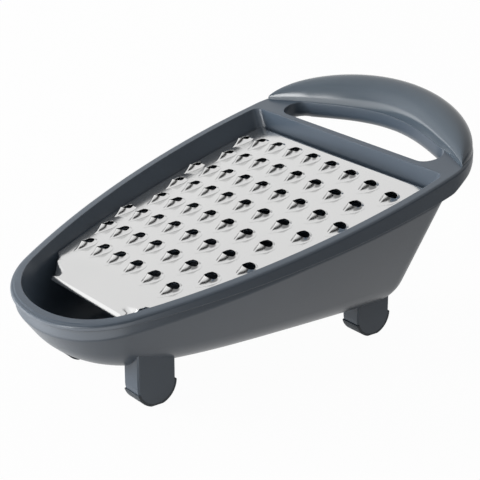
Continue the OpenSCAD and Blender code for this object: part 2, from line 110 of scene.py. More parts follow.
def tub_line(side_shares, nose_shares, half, nose, rear, out, corner):
    """A closed line round the tub, from the right rear corner by the nose to the left one and back"""
    side, front = control(side_shares, half, nose, rear), control(nose_shares, half, nose, rear)
    start = corner_share(side, out, rear - corner)
    place, normal = curve_point(side, start)
    middle = Vector((place.x + normal.x * out - corner, rear - corner))
    right = []
    for k in range(CORNER_STEPS + 1):
        turn = k * math.pi / 2 / CORNER_STEPS
        right.append(middle + Vector((math.sin(turn), math.cos(turn))) * corner)
    for k in range(1, SIDE_STEPS + 1):
        place, normal = curve_point(side, blend(start, 1, k / SIDE_STEPS))
        right.append(place + normal * out)
    for k in range(1, NOSE_STEPS + 1):
        place, normal = curve_point(front, k / NOSE_STEPS)
        right.append(place + normal * out)
    right[-1].x = 0
    line = mirrored(right)
    return line + [blend(line[-1], line[0], k / REAR_STEPS) for k in range(1, REAR_STEPS)]


def moved_out(line, amount):
    """The same closed line, each point pushed outwards by its own amount"""
    result = []
    for k, p in enumerate(line):
        along = line[(k + 1) % len(line)] - line[k - 1]
        result.append(p + Vector((-along.y, along.x)).normalized() * amount(p))
    return result


def raised(line, height):
    return [Vector((p.x, p.y, height(p.y))) for p in line]


def rounded_over(line, radius, out, steps):
    """Rings that turn from the rim's flat top into the wall on the line"""
    rings = []
    for step in range(steps + 1):
        turn = math.pi / 2 * step / steps
        ring = moved_out(line, lambda p: out * radius * (1 - math.sin(turn)))
        fall = radius * (1 - math.cos(turn))
        rings.append([Vector((q.x, q.y, rim_height(p.y) - fall)) for p, q in zip(line, ring)])
    return rings


def rounded_under(line, radius, out, steps):
    """Rings that turn from the wall on the line into the underside, each place with its own radius"""
    rings = []
    for step in range(steps + 1):
        turn = math.pi / 2 * step / steps
        ring = moved_out(line, lambda p: out * radius(p) * (1 - math.cos(turn)))
        rings.append([])
        for p, q in zip(line, ring):
            low = rim_height(p.y) - skirt_depth(p.y)
            rings[-1].append(Vector((q.x, q.y, low + radius(p) * (1 - math.sin(turn)))))
    return rings


def nothing_selected():
    if bpy.context.object and bpy.context.object.mode != "OBJECT":
        bpy.ops.object.mode_set(mode="OBJECT")
    bpy.ops.object.select_all(action="DESELECT")


def taken_up(obj):
    """Leaves this object alone selected"""
    nothing_selected()
    bpy.context.view_layer.objects.active = obj
    obj.select_set(True)


def drawn_down(name, rings, closed=False):
    """A moulded wall: a circle laid on the first ring, then extruded from ring to ring"""
    nothing_selected()
    bpy.ops.mesh.primitive_circle_add(vertices=len(rings[0]), radius=1)
    wall = bpy.context.object
    wall.name = name
    for vertex, place in zip(wall.data.vertices, rings[0]):
        vertex.co = place * MM
    bpy.ops.object.mode_set(mode="EDIT")
    for last, ring in zip(rings, rings[1:]):
        bpy.ops.mesh.extrude_edges_move()
        mesh = bmesh.from_edit_mesh(wall.data)
        order = {(p * MM).to_tuple(DECIMALS): k for k, p in enumerate(last)}
        for vertex in mesh.verts:
            if vertex.select:
                vertex.co = ring[order[vertex.co.to_tuple(DECIMALS)]] * MM
        bmesh.update_edit_mesh(wall.data)
    if closed:
        bpy.ops.mesh.edge_face_add()
    bpy.ops.object.mode_set(mode="OBJECT")
    return wall


def joined(*parts):
    nothing_selected()
    for part in parts:
        part.select_set(True)
    bpy.context.view_layer.objects.active = parts[0]
    bpy.ops.object.join()
    return parts[0]


def filled(obj, belongs):
    """Fills between the open edges that lie where belongs says"""
    taken_up(obj)
    bpy.ops.object.mode_set(mode="EDIT")
    bpy.ops.mesh.select_all(action="DESELECT")
    bpy.context.tool_settings.mesh_select_mode = (False, True, False)
    mesh = bmesh.from_edit_mesh(obj.data)
    for edge in mesh.edges:
        if edge.is_boundary and all(belongs(v.co / MM) for v in edge.verts):
            edge.select = True
    bmesh.update_edit_mesh(obj.data)
    bpy.ops.mesh.fill()
    bpy.context.tool_settings.mesh_select_mode = (True, False, False)
    bpy.ops.object.mode_set(mode="OBJECT")


def outwards(obj):
    """Welds the seams and turns every face outwards"""
    taken_up(obj)
    bpy.ops.object.mode_set(mode="EDIT")
    bpy.ops.mesh.select_all(action="SELECT")
    bpy.ops.mesh.remove_doubles(threshold=WELD * MM)
    bpy.ops.mesh.normals_make_consistent(inside=False)
    bpy.ops.object.mode_set(mode="OBJECT")


def modified(obj, kind, **settings):
    """Adds one modifier and applies it"""
    taken_up(obj)
    modifier = obj.modifiers.new(kind.lower(), kind)
    for key, value in settings.items():
        setattr(modifier, key, value)
    bpy.ops.object.modifier_apply(modifier=modifier.name)


def smoothed(obj, angle, weighted=True):
    """Shades smooth, with sharp edges where faces meet at more than this many degrees"""
    taken_up(obj)
    bpy.ops.object.shade_smooth_by_angle(angle=math.radians(angle))
    if weighted:
        modified(obj, "WEIGHTED_NORMAL", keep_sharp=True)


# the outer edge of rim and loop: rounded above, with a square skirt whose foot turns under the loop
rim_line = tub_line(RIM_SIDE_SHARES, RIM_NOSE_SHARES, SIDE_IN, NOSE_IN, REAR_IN, RIM_WIDTH, RIM_CORNER)
rim_line = rim_line[CORNER_STEPS + 1:-CORNER_STEPS - REAR_STEPS]
outer = [p for p in rim_line if p.y < LOOP_START - LOOP_JOIN]
for k in range(LOOP_STEPS + 1):
    a = math.pi * (1 - k / LOOP_STEPS)
    outer.append(Vector((LOOP_SIDE * math.cos(a), LOOP_START + (HALF_LENGTH - LOOP_START) * math.sin(a))))


def skirt_edge(p):
    return blend(SKIRT_EDGE, LOOP_EDGE, ease(p.y, LOOP_EDGE_FROM, LOOP_EDGE_TO))


edge_rings = [raised(moved_out(outer, lambda p: -RIM_ROUND - RIM_FLAT), rim_height)]
edge_rings += rounded_over(outer, RIM_ROUND, -1, EDGE_STEPS)
edge_rings += rounded_under(outer, skirt_edge, -1, EDGE_STEPS)
skirt = drawn_down("tub_moulding", edge_rings)

# the hand slot: straight in front, bowed behind, with round ends and a rounded lower edge
SLOT_STRAIGHT, SLOT_DEPTH, SLOT_END, SLOT_BOW_SHARE = 41.9, 21.4, 6.3, 1.26
SLOT_TOP, SLOT_FRONT, SLOT_REAR, SLOT_REAR_FROM, SLOT_REAR_TO = 0.4, 0.3, 3.2, 62, 70
OPENING_FLAT = 0.8
SLOT_STEPS, SLOT_BOW_STEPS, TOP_STEPS, SLOT_EDGE_STEPS = 12, 32, 3, 5


def slot_far_edge(share):
    """How far behind the slot's front edge its bowed one lies, at this share of the straight width"""
    bow = SLOT_BOW_SHARE * share**2 - (SLOT_BOW_SHARE - 1) * share**4
    return SLOT_DEPTH - (SLOT_DEPTH - 2 * SLOT_END) * bow


def slot_end(side, first):
    line = []
    for k in range(first, SLOT_STEPS):
        a = math.pi * (k / SLOT_STEPS - side / 2)
        x = side * SLOT_STRAIGHT + SLOT_END * math.cos(a)
        line.append(Vector((x, REAR_OUT + SLOT_END * (1 + math.sin(a)))))
    return line


def slot_edge(p):
    return blend(SLOT_FRONT, SLOT_REAR, ease(p.y, SLOT_REAR_FROM, SLOT_REAR_TO))


slot = [Vector((blend(-SLOT_STRAIGHT, SLOT_STRAIGHT, k / SLOT_STEPS), REAR_OUT)) for k in range(SLOT_STEPS)]
slot += slot_end(1, 0)
for k in range(SLOT_BOW_STEPS + 1):
    share = 1 - 2 * k / SLOT_BOW_STEPS
    slot.append(Vector((SLOT_STRAIGHT * share, REAR_OUT + slot_far_edge(share))))
slot += slot_end(-1, 1)
slot.reverse()
slot_rings = [raised(moved_out(slot, lambda p: OPENING_FLAT), rim_height)]
slot_rings += rounded_over(slot, SLOT_TOP, 1, TOP_STEPS)
slot_rings += rounded_under(slot, slot_edge, 1, SLOT_EDGE_STEPS)
slot_wall = drawn_down("slot wall", slot_rings)

# the inside: a wall with a ledge along each side for the plate, a round toe and a flat floor
PLATE_GAP, SHEET, SEAT_GAP, ARCH_RADIUS = 5.4, 0.8, 0.3, 262.0
SHEET_SLOPE, SHEET_SUNK, SHEET_BACK_SHARE = math.radians(14.75), 1.3, 0.0308
SHEET_Y = -2 * HALF_LENGTH * SHEET_BACK_SHARE
SHEET_TOP = rim_height(SHEET_Y) - SHEET_SUNK
LEDGE_WIDTH, LEDGE_HEIGHT, LEDGE_REAR, LEDGE_LEAST_X = 3.0, 4.0, 44.0, 20
LEDGE_FRONT_FADE, LEDGE_REAR_FADE = (-58, -54), (43, 46)
LEDGE_TOP_SHARE, LEDGE_LIP_SHARE = 0.05, 0.2
INNER_TOP, INNER_CORNER, INNER_BASE_CORNER, INNER_TOE, TOE_STEPS = 0.35, 4.0, 6.8, 10.8, 8


def from_sheet(u, v, n):
    """A place across, along and above the steel sheet, in the frame's axes"""
    along, up = math.cos(SHEET_SLOPE), math.sin(SHEET_SLOPE)
    return Vector((u, SHEET_Y + v * along - n * up, SHEET_TOP + v * up + n * along))


def arch(u):
    return -u * u / (2 * ARCH_RADIUS)


def sheet_along(u, y):
    return (y - SHEET_Y + arch(u) * math.sin(SHEET_SLOPE)) / math.cos(SHEET_SLOPE)


def ledge_depth(p):
    """How far under the rim a ledge carries the sheet"""
    u, y = max(abs(p.x) - PLATE_GAP, 0), min(p.y, LEDGE_REAR)
    sheet_top = from_sheet(u, sheet_along(u, y), arch(u)).z
    return rim_height(y) - sheet_top + SHEET / math.cos(SHEET_SLOPE) + SEAT_GAP


def wall_place(p, q, depth):
    flat = blend(p, q, depth / (rim_height(p.y) - FLOOR_HEIGHT))
    return Vector((flat.x, flat.y, rim_height(p.y) - depth))


def rounded_toe(tops, feet, height, radius, share):
    """A ring of the round between a wall and the flat below it"""
    ring = []
    for top, foot in zip(tops, feet):
        corner = Vector((foot.x, foot.y, height))
        up = (top - corner).normalized() * radius
        inwards = Vector((-foot.x, -foot.y, 0)).normalized() * radius
        ring.append(corner + up * (1 - share) ** 2 + inwards * share**2)
    return ring


rim_in = tub_line(RIM_SIDE_SHARES, RIM_NOSE_SHARES, SIDE_IN, NOSE_IN, REAR_IN, 0.0, INNER_CORNER)
base_in = tub_line(BASE_SIDE_SHARES, BASE_NOSE_SHARES, BASE_HALF - WALL, BASE_NOSE - WALL, REAR_IN, 0.0,
                   INNER_BASE_CORNER)
inside = [raised(moved_out(rim_in, lambda p: OPENING_FLAT), rim_height)]
inside += rounded_over(rim_in, INNER_TOP, 1, TOP_STEPS)
ledge_top, ledge_edge, ledge_low, ledge_foot = [], [], [], []
for p, q in zip(rim_in, base_in):
    depth = ledge_depth(p)
    width = LEDGE_WIDTH * ease(p.y, *LEDGE_FRONT_FADE) * (1 - ease(p.y, *LEDGE_REAR_FADE))
    inwards = (q - p).normalized() * (width if abs(p.x) > LEDGE_LEAST_X else 0)
    reach = Vector((inwards.x, inwards.y, 0))
    top, foot = wall_place(p, q, depth), wall_place(p, q, depth + LEDGE_HEIGHT)
    ledge_top.append(top)
    ledge_edge.append(blend(top, foot, LEDGE_TOP_SHARE) + reach)
    ledge_low.append(blend(top, foot, LEDGE_LIP_SHARE) + reach)
    ledge_foot.append(foot)
inside += [ledge_top, ledge_edge, ledge_low, ledge_foot]
for k in range(TOE_STEPS + 1):
    inside.append(rounded_toe(ledge_foot, base_in, FLOOR_HEIGHT, INNER_TOE, k / TOE_STEPS))
cavity = drawn_down("cavity", inside, closed=True)

# the outside below the skirt: an upright band, a soft crease, the sloping wall, a round toe and a flat base
SKIRT_STEP, REAR_STEP, OUTER_CORNER, OUTER_TOE, OUTER_TOE_STEPS = 1.5, 0.52, 9.0, 13.0, 10
BAND, BAND_LEAST, CREASE_ABOVE, CREASE_BELOW = 7.0, 1.5, 0.7, 0.9
wall_out = tub_line(RIM_SIDE_SHARES, RIM_NOSE_SHARES, SIDE_IN, NOSE_IN, REAR_OUT - REAR_STEP,
                    RIM_WIDTH - SKIRT_STEP, OUTER_CORNER)
base_out = tub_line(BASE_SIDE_SHARES, BASE_NOSE_SHARES, BASE_HALF, BASE_NOSE, REAR_OUT, 0.0, OUTER_CORNER)
band_top = raised(wall_out, lambda y: rim_height(y) - skirt_depth(y))
crease = raised(wall_out, lambda y: rim_height(y) - max(BAND, skirt_depth(y) + BAND_LEAST))
toe_top = rounded_toe(crease, base_out, BASE_HEIGHT, OUTER_TOE, 0)
above = [c + (t - c).normalized() * min(CREASE_ABOVE, (t - c).length / 2) for t, c in zip(band_top, crease)]
below = [c + (t - c).normalized() * CREASE_BELOW for t, c in zip(toe_top, crease)]
outside = [band_top, above, [(a + 2 * c + b) / 4 for a, c, b in zip(above, crease, below)], below]
for k in range(OUTER_TOE_STEPS + 1):
    outside.append(rounded_toe(crease, base_out, BASE_HEIGHT, OUTER_TOE, k / OUTER_TOE_STEPS))
shell = drawn_down("shell", outside, closed=True)

NEAR_TOP, UNDER_TOP = 0.05, 1
tub = joined(skirt, slot_wall, cavity, shell)
filled(tub, lambda p: abs(p.z - rim_height(p.y)) < NEAR_TOP)
filled(tub, lambda p: p.z < rim_height(p.y) - UNDER_TOP)
outwards(tub)

# four feet grow out of the underside: each a tongue with a half-round end, run up into the tub's wall
FOOT_RADIUS, FOOT_WIDTH, FOOT_OUT, SOLE_FLAT = 9.2, 10.0, 31.6, 0.4
TONGUE_STEP, TONGUE_EDGE, TONGUE_EDGE_SHARE, TONGUE_BITE, TONGUE_TOP = 0.55, 0.7, 0.93, 1.2, 0.5
TONGUE_ROUND_STEPS, TONGUE_TOP_STEPS = 24, 9
FRONT_FEET, REAR_FEET = -61.0, 49.0
FEET = (("front_right", 1, FRONT_FEET), ("front_left", -1, FRONT_FEET),
        ("rear_right", 1, REAR_FEET), ("rear_left", -1, REAR_FEET))


def half_round(radius, steps):
    """The round end of a foot, seen from the side"""
    line = []
    for k in range(steps + 1):
        a = math.pi * (1 + k / steps)
        line.append(Vector((radius * math.cos(a), FOOT_RADIUS - SOLE_FLAT + radius * math.sin(a))))
    return line


def tongue_edge(p):
    """A place on the tongue's side face, drawn in for its soft edge, but not where it meets the tub"""
    at_tub = p.y > FOOT_RADIUS
    height = p.y if at_tub else FOOT_RADIUS + (p.y - FOOT_RADIUS) * TONGUE_EDGE_SHARE
    return Vector((p.x * TONGUE_EDGE_SHARE, height))


tongue_radius = FOOT_RADIUS - TONGUE_STEP
tongue_line = half_round(tongue_radius, TONGUE_ROUND_STEPS)
for k in range(TONGUE_TOP_STEPS + 1):
    tongue_line.append(Vector((blend(tongue_radius, -tongue_radius, k / TONGUE_TOP_STEPS), BASE_HEIGHT)))
tongues = []
for name, side, y in FEET:
    middle, half = side * (FOOT_OUT - FOOT_WIDTH / 2), FOOT_WIDTH / 2
    drawn_in = [tongue_edge(p) for p in tongue_line]
    sides = ((-half, drawn_in), (-half + TONGUE_EDGE, tongue_line),
             (half - TONGUE_EDGE, tongue_line), (half, drawn_in))
    rings = [[Vector((middle + across, y + p.x, p.y)) for p in line] for across, line in sides]
    tongue = drawn_down("tongue", rings, closed=True)
    filled(tongue, lambda p: True)
    for vertex in tongue.data.vertices:
        if vertex.co.z > (BASE_HEIGHT - TONGUE_TOP) * MM:
            start = Vector((vertex.co.x, vertex.co.y, 0))
            found, place, normal, face = tub.ray_cast(start, Vector((0, 0, 1)))
            vertex.co.z = place.z + TONGUE_BITE * MM if found else BASE_HEIGHT * MM
    outwards(tongue)
    tongues.append(tongue)

# a shelf across the rear wall carries the edge of the plate's flange
SHELF_LENGTH, SHELF_REACH, SHELF_HEIGHT, SHELF_EDGE = 78.6, 3.4, 3.0, 0.5
SHELF_Y, SHELF_Z = 56.7, 65.3
nothing_selected()
bpy.ops.mesh.primitive_cube_add(size=1, location=(0, SHELF_Y * MM, SHELF_Z * MM))
shelf = bpy.context.object
shelf.scale = (SHELF_LENGTH * MM, SHELF_REACH * MM, SHELF_HEIGHT * MM)
bpy.ops.object.transform_apply(location=True, rotation=True, scale=True)
bpy.ops.object.mode_set(mode="EDIT")
bpy.ops.mesh.select_all(action="SELECT")
bpy.ops.mesh.bevel(offset=SHELF_EDGE * MM, segments=3, affect="EDGES")
bpy.ops.object.mode_set(mode="OBJECT")

tub = joined(tub, *tongues, shelf)
smoothed(tub, 24)


class Wire:
    """A shader value. Sums and products of it add Math nodes to its finish."""

    def __init__(self, finish, socket):
        self.finish, self.socket = finish, socket

    def _maths(self, operation, other):
        return self.finish.node("ShaderNodeMath", {"operation": operation}, {0: self, 1: other})

    def __add__(self, other):
        return self._maths("ADD", other)

    __radd__ = __add__

    def __mul__(self, other):
        return self._maths("MULTIPLY", other)

    __rmul__ = __mul__

    def __sub__(self, other):
        return self._maths("SUBTRACT", other)

    def __abs__(self):
        return self._maths("ABSOLUTE", 0)

    def most(self, other):
        return self._maths("MAXIMUM", other)

    def eased(self, low, high, first, last):
        """Passes softly from first to last while the value goes from low to high"""
        ends = {"Value": self, "From Min": low, "From Max": high, "To Min": first, "To Max": last}
        return self.finish.node("ShaderNodeMapRange", {"interpolation_type": "SMOOTHSTEP"}, ends)


class Finish:
    """A material that its nodes are added to, one by one"""

    def __init__(self, name):
        self.material = bpy.data.materials.new(name)
        self.material.use_nodes = True
        self.tree = self.material.node_tree
        self.shader = next(n for n in self.tree.nodes if n.type == "BSDF_PRINCIPLED")

    def feed(self, socket, value):
        if isinstance(value, Wire):
            self.tree.links.new(value.socket, socket)
        else:
            socket.default_value = value

    def node(self, kind, settings=None, values=None, out=0):
        node = self.tree.nodes.new(kind)
        for key, value in (settings or {}).items():
            setattr(node, key, value)
        for key, value in (values or {}).items():
            self.feed(node.inputs[key], value)
        return Wire(self, node.outputs[out])

    def towards(self, place, direction):
        """How far a place or a ray goes in one direction"""
        ends = {0: place, 1: direction}
        return self.node("ShaderNodeVectorMath", {"operation": "DOT_PRODUCT"}, ends, out=1)

    def rays(self, kind):
        return self.node("ShaderNodeLightPath", out=kind)

    def grain(self, scale, detail=2.0, stretch=(1, 1, 1)):
        place = self.node("ShaderNodeTexCoord", out="Object")
        spread = self.node("ShaderNodeMapping", values={"Vector": place, "Scale": stretch})
        return self.node("ShaderNodeTexNoise", values={"Vector": spread, "Scale": scale, "Detail": detail})

    def mixed(self, share, first, second):
        return self.node("ShaderNodeMix", {"data_type": "RGBA"}, {0: share, 6: first, 7: second}, out=2)

    def shade(self, **values):
        for key, value in values.items():
            self.feed(self.shader.inputs[key.replace("_", " ")], value)

    def bumps(self, height, strength, distance):
        sizes = {"Height": height, "Strength": strength, "Distance": distance}
        self.feed(self.shader.inputs["Normal"], self.node("ShaderNodeBump", values=sizes))

    def put_on(self, *objs):
        for obj in objs:
            obj.data.materials.clear()
            obj.data.materials.append(self.material)


# the moulding's finish: glossy, with a faint orange peel and a soft cloudiness in colour and gloss
MOULDED_DEEP, MOULDED_PALE = (0.047, 0.063, 0.084, 1), (0.055, 0.073, 0.096, 1)
MOULDED_ROUGH, CLOUD_ROUGH, PLASTIC_IOR = 0.26, 0.08, 1.5
CLOUD_SCALE, PEEL_SCALE, PEEL_STRENGTH, PEEL_DEPTH, FINE_DETAIL = 45.0, 900.0, 0.05, 0.2, 3.0
moulded = Finish("blue grey moulding")
cloud = moulded.grain(CLOUD_SCALE, FINE_DETAIL)
peel = moulded.grain(PEEL_SCALE)
moulded.shade(Base_Color=moulded.mixed(cloud, MOULDED_DEEP, MOULDED_PALE))
moulded.shade(Roughness=MOULDED_ROUGH + cloud * CLOUD_ROUGH, IOR=PLASTIC_IOR)
moulded.bumps(peel, PEEL_STRENGTH, PEEL_DEPTH * MM)
moulded.put_on(tub)
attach(tub, "base")
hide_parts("tub")

# Handle cover. A thin crescent shell in the tub's plastic, moulded to a deeper gloss. It is pressed
# on top of the loop with three pegs, crowned to fill the palm and drawn out to a point at both ends.
TIP_ANGLE, CROWN, TIP_CROWN, COVER_GAP, COVER_SUNK = 11.3, 10.6, 0.9, 0.25, 0.1
TIP_INSET, REAR_INSET, TIP_INSET_SHARE = 1.2, 0.3, 0.1
TIP_BLUNT, SLOT_MARGIN, TIP_SWEEP, CROWN_FULLNESS, CROWN_ROUNDNESS = 0.7, 0.3, 3.0, 0.7, 0.8
ARCH_POINTS, COVER_POINTS = 24, 96


def cover_outer(share):
    a = math.radians(blend(TIP_ANGLE, 180 - TIP_ANGLE, share))
    inset = blend(TIP_INSET, REAR_INSET, min(min(share, 1 - share) / TIP_INSET_SHARE, 1))
    return Vector(((LOOP_SIDE - inset) * math.cos(a),
                   LOOP_START + (HALF_LENGTH - LOOP_START - inset) * math.sin(a)))


def cover_inner(share):
    reach = cover_outer(0).x - TIP_BLUNT
    x = blend(reach, -reach, share)
    past = max(abs(x) - SLOT_STRAIGHT, 0) / (reach - SLOT_STRAIGHT)
    return Vector((x, REAR_OUT + slot_far_edge(x / SLOT_STRAIGHT) + SLOT_MARGIN - TIP_SWEEP * past * past))


nothing_selected()
bpy.ops.mesh.primitive_grid_add(x_subdivisions=COVER_POINTS, y_subdivisions=ARCH_POINTS, size=1)
cover = bpy.context.object
cover.name = "handle_cover_shell"
for vertex in cover.data.vertices:
    share = 0.5 - 0.5 * math.cos(math.pi * (vertex.co.x + 0.5))
    a = math.pi * (vertex.co.y + 0.5)
    far, near = cover_outer(share), cover_inner(share)
    flat = (far + near) / 2 + (far - near) / 2 * math.cos(a)
    crown = blend(TIP_CROWN, CROWN, max(1 - (2 * share - 1) ** 2, 0) ** CROWN_FULLNESS)
    height = rim_height(flat.y) + COVER_GAP + crown * max(math.sin(a), 0) ** CROWN_ROUNDNESS
    vertex.co = Vector((flat.x, flat.y, height)) * MM
bpy.ops.object.mode_set(mode="EDIT")
bpy.ops.mesh.select_all(action="SELECT")
bpy.ops.mesh.region_to_loop()
bpy.ops.mesh.extrude_edges_move()
mesh = bmesh.from_edit_mesh(cover.data)
for vertex in mesh.verts:
    if vertex.select:
        vertex.co.z = (rim_height(vertex.co.y / MM) - COVER_SUNK) * MM
bmesh.update_edit_mesh(cover.data)
bpy.ops.mesh.fill()
bpy.ops.object.mode_set(mode="OBJECT")
outwards(cover)
smoothed(cover, 50)

# its finish: the same colour, a shade darker and with a deeper gloss than the tub
POLISHED_DEEP, POLISHED_PALE = (0.046, 0.062, 0.080, 1), (0.054, 0.072, 0.090, 1)
HAZE_SCALE, POLISHED_ROUGH, HAZE_ROUGH = 60.0, 0.12, 0.06
polished = Finish("blue grey gloss")
haze = polished.grain(HAZE_SCALE, FINE_DETAIL)
polished.shade(Base_Color=polished.mixed(haze, POLISHED_DEEP, POLISHED_PALE))
polished.shade(Roughness=POLISHED_ROUGH + haze * HAZE_ROUGH, IOR=PLASTIC_IOR)
polished.put_on(cover)
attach(cover, "base")
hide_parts("handle_cover")

# Grater plate. One arched stainless sheet, 0.8 mm thick, with 62 teeth punched up out of it,
# a tab bent down in front that ends in a lip, and a flange bent down behind. It lies loose on the
# tub's ledges and rear shelf, and is lifted out by its lip.
TAB_START, TAB_ANGLE, TAB_LENGTH = 56.2, math.radians(16.5), 13.6
TAB_SLOPE, TAB_END = math.tan(TAB_ANGLE), -TAB_START - TAB_LENGTH * math.cos(TAB_ANGLE)
LIP_LENGTH, LIP_SLOPE = 1.31, 0.725
FLANGE_START, FLANGE_SLOPE, FLANGE_GAP, FLANGE_TAPER = 54.5, math.tan(math.radians(38.5)), 1.3, 3.0
TAB_BEND, FLANGE_BEND, GROOVE_WIDTH, GROOVE_DEPTH = 0.3, 0.5, 0.3, 0.12
FOLD_STEEPNESS = 0.75
FOLDS = (Vector((29.1, -63.95)), Vector((19.6, -66.5)), Vector((25.2, -69.6)))

# a flat tab or flange cuts the arched sheet along a bowed line
front_bow, rear_bow = 1 / (2 * ARCH_RADIUS * TAB_SLOPE), 1 / (2 * ARCH_RADIUS * FLANGE_SLOPE)


def soft_least(a, b, radius):
    near = max(radius - abs(a - b), 0) / radius
    return min(a, b) - near * near * radius / 4


def corner_dent(u, v):
    """How far a bent-down corner of the tab lies below it: past two fold lines that meet in a point"""
    past = []
    for start, end in zip(FOLDS, FOLDS[1:]):
        along = (end - start).normalized()
        past.append((Vector((abs(u), v)) - start).dot(Vector((-along.y, along.x))))
    return FOLD_STEEPNESS * max(min(past), 0)


def sheet_height(u, v):
    """The sheet's height over its own plane: arched, and bent down in front and behind"""
    n = soft_least(arch(u), (v + TAB_START) * TAB_SLOPE, TAB_BEND)
    n = soft_least(n, -(v - FLANGE_START) * FLANGE_SLOPE, FLANGE_BEND)
    off = (v + TAB_START + front_bow * u * u) / GROOVE_WIDTH
    groove = GROOVE_DEPTH * math.exp(-off * off)
    return n - groove - max(TAB_END - v, 0) * LIP_SLOPE - corner_dent(u, v)


# stations from lip to flange: half width, place along the middle, and how far the row bows
LIP_HALF, LIP_BEND_HALF, TAB_HALF, TAB_REAR_HALF = 25.0, 25.2, 25.4, 30.6
CREASE_HALF, SHEET_FRONT_HALF, SIDE_FROM, SIDE_TO = 30.8, 31.2, 0.9, 0.02
LIP_BEND, TAB_BEND_END, TAB_FROM, CREASE_CLEAR, FLANGE_CLEAR = -0.1, 0.15, 0.3, 0.9, 1.5
TAB_FLARE, TAB_BOW, BOW_LEFT = 0.6, 1.5, 0.6
TAB_ROWS, CREASE_ROWS, CREASE_PITCH, SHEET_ROWS, BOWED_ROWS, FLANGE_ROWS = 8, 7, 0.2, 40, 4, 3
side_curve = control(RIM_SIDE_SHARES, SIDE_IN, NOSE_IN, REAR_IN)
flange_y = REAR_IN - FLANGE_GAP - SHEET_Y
flange_end = flange_y + FLANGE_START * FLANGE_SLOPE * math.sin(SHEET_SLOPE)
flange_end /= math.cos(SHEET_SLOPE) + FLANGE_SLOPE * math.sin(SHEET_SLOPE)
stations = [(LIP_HALF, TAB_END - LIP_LENGTH, 0)]
stations += [(LIP_BEND_HALF, TAB_END + LIP_BEND, 0), (TAB_HALF, TAB_END + TAB_BEND_END, 0)]
for k in range(1, TAB_ROWS + 1):
    share = k / TAB_ROWS
    half = blend(TAB_HALF, TAB_REAR_HALF, share**TAB_FLARE)
    along = blend(TAB_END + TAB_FROM, -TAB_START - CREASE_CLEAR, share)
    stations.append((half, along, -front_bow * share**TAB_BOW))
for k in range(CREASE_ROWS):
    half = blend(CREASE_HALF, SHEET_FRONT_HALF, k / (CREASE_ROWS - 1))
    stations.append((half, -TAB_START + (k - CREASE_ROWS // 2) * CREASE_PITCH, -front_bow))
for k in range(1, SHEET_ROWS + 1):
    place, normal = curve_point(side_curve, blend(SIDE_FROM, SIDE_TO, k / SHEET_ROWS))
    half = place.x - PLATE_GAP
    if sheet_along(half, place.y) < FLANGE_START - FLANGE_CLEAR:
        bow = 0 if k > BOWED_ROWS else -front_bow * (1 - k / (BOWED_ROWS + 1)) * BOW_LEFT
        stations.append((half, sheet_along(half, place.y), bow))
flange_half = side_curve[0].x - PLATE_GAP
for step in (-FLANGE_BEND, 0, FLANGE_BEND):
    stations.append((flange_half, FLANGE_START + step, rear_bow))
for k in range(1, FLANGE_ROWS + 1):
    share = k / FLANGE_ROWS
    along = blend(FLANGE_START + FLANGE_BEND, flange_end, share)
    stations.append((flange_half - FLANGE_TAPER * share, along, rear_bow * (1 - share)))

SHEET_COLUMNS, SHEET_EDGE, SHEET_EDGE_ANGLE = 56, 0.12, math.radians(60)
nothing_selected()
bpy.ops.mesh.primitive_grid_add(x_subdivisions=SHEET_COLUMNS, y_subdivisions=len(stations) - 1, size=1)
plate = bpy.context.object
plate.name = "grater_sheet"
for vertex in plate.data.vertices:
    half, along, bow = stations[round((vertex.co.y + 0.5) * (len(stations) - 1))]
    u = half * 2 * vertex.co.x
    v = along + bow * u * u
    vertex.co = from_sheet(u, v, sheet_height(u, v)) * MM
modified(plate, "SOLIDIFY", thickness=SHEET * MM, offset=-1)
outwards(plate)
modified(plate, "BEVEL", width=SHEET_EDGE * MM, segments=2, limit_method="ANGLE",
         angle_limit=SHEET_EDGE_ANGLE)

# one tooth, on the sheet's plane: a foot that flows out of the sheet, a ramp in front and a sharp round mouth
MOUTH_HALF, MOUTH_REAR, MOUTH_FRONT, MOUTH_PINCH_SHARE = 2.85, 2.75, 2.5, 0.05
TOOTH_REAR, TOOTH_FRONT, TOOTH_STEEPNESS, TOOTH_NARROWING = 1.05, 2.4, 1.3, 0.2
FOOT_HALF, FOOT_REAR, RAMP, RAMP_PINCH_SHARE = 4.1, 3.9, 7.6, 0.45
TOOTH_POINTS, TOOTH_SKIN, TOOTH_LIP, TOOTH_SEAT = 32, 0.45, 0.05, 0.02
RISE_SHARES = (0, 0.1, 0.22, 0.36, 0.5, 0.64, 0.78, 0.9, 1)
UNDER_SHARES = (0.97, 0.85, 0.7, 0.55, 0.4, 0.3)
ROOT_SHARE, HOLE_SHARE, LEAST_UNDER, ROOT_DEPTH, HOLE_TOP, HOLE_FOOT = 0.25, 0.28, -0.75, -0.79, 0.4, -1.6
tooth_turns = [-2 * math.pi * k / TOOTH_POINTS for k in range(TOOTH_POINTS)]


def forward(turn):
    """How far a place on a tooth's round outline lies towards its front: 0 at the sides, 1 at the point"""
    return max(-math.sin(turn), 0)


def drop(half, rear, point, pinch):
    """A round line drawn out in front"""
    line = []
    for turn in tooth_turns:
        narrowed = abs(math.cos(turn)) ** (1 + TOOTH_NARROWING * forward(turn))
        across = math.copysign(narrowed, math.cos(turn)) * (1 - pinch * forward(turn))
        line.append(Vector((half * across, (rear if math.sin(turn) > 0 else point) * math.sin(turn))))
    return line


foot = drop(FOOT_HALF, FOOT_REAR, RAMP, RAMP_PINCH_SHARE)
mouth = drop(MOUTH_HALF, MOUTH_REAR, MOUTH_FRONT, MOUTH_PINCH_SHARE)
mouth_heights = [blend(TOOTH_REAR, TOOTH_FRONT, forward(turn) ** TOOTH_STEEPNESS) for turn in tooth_turns]


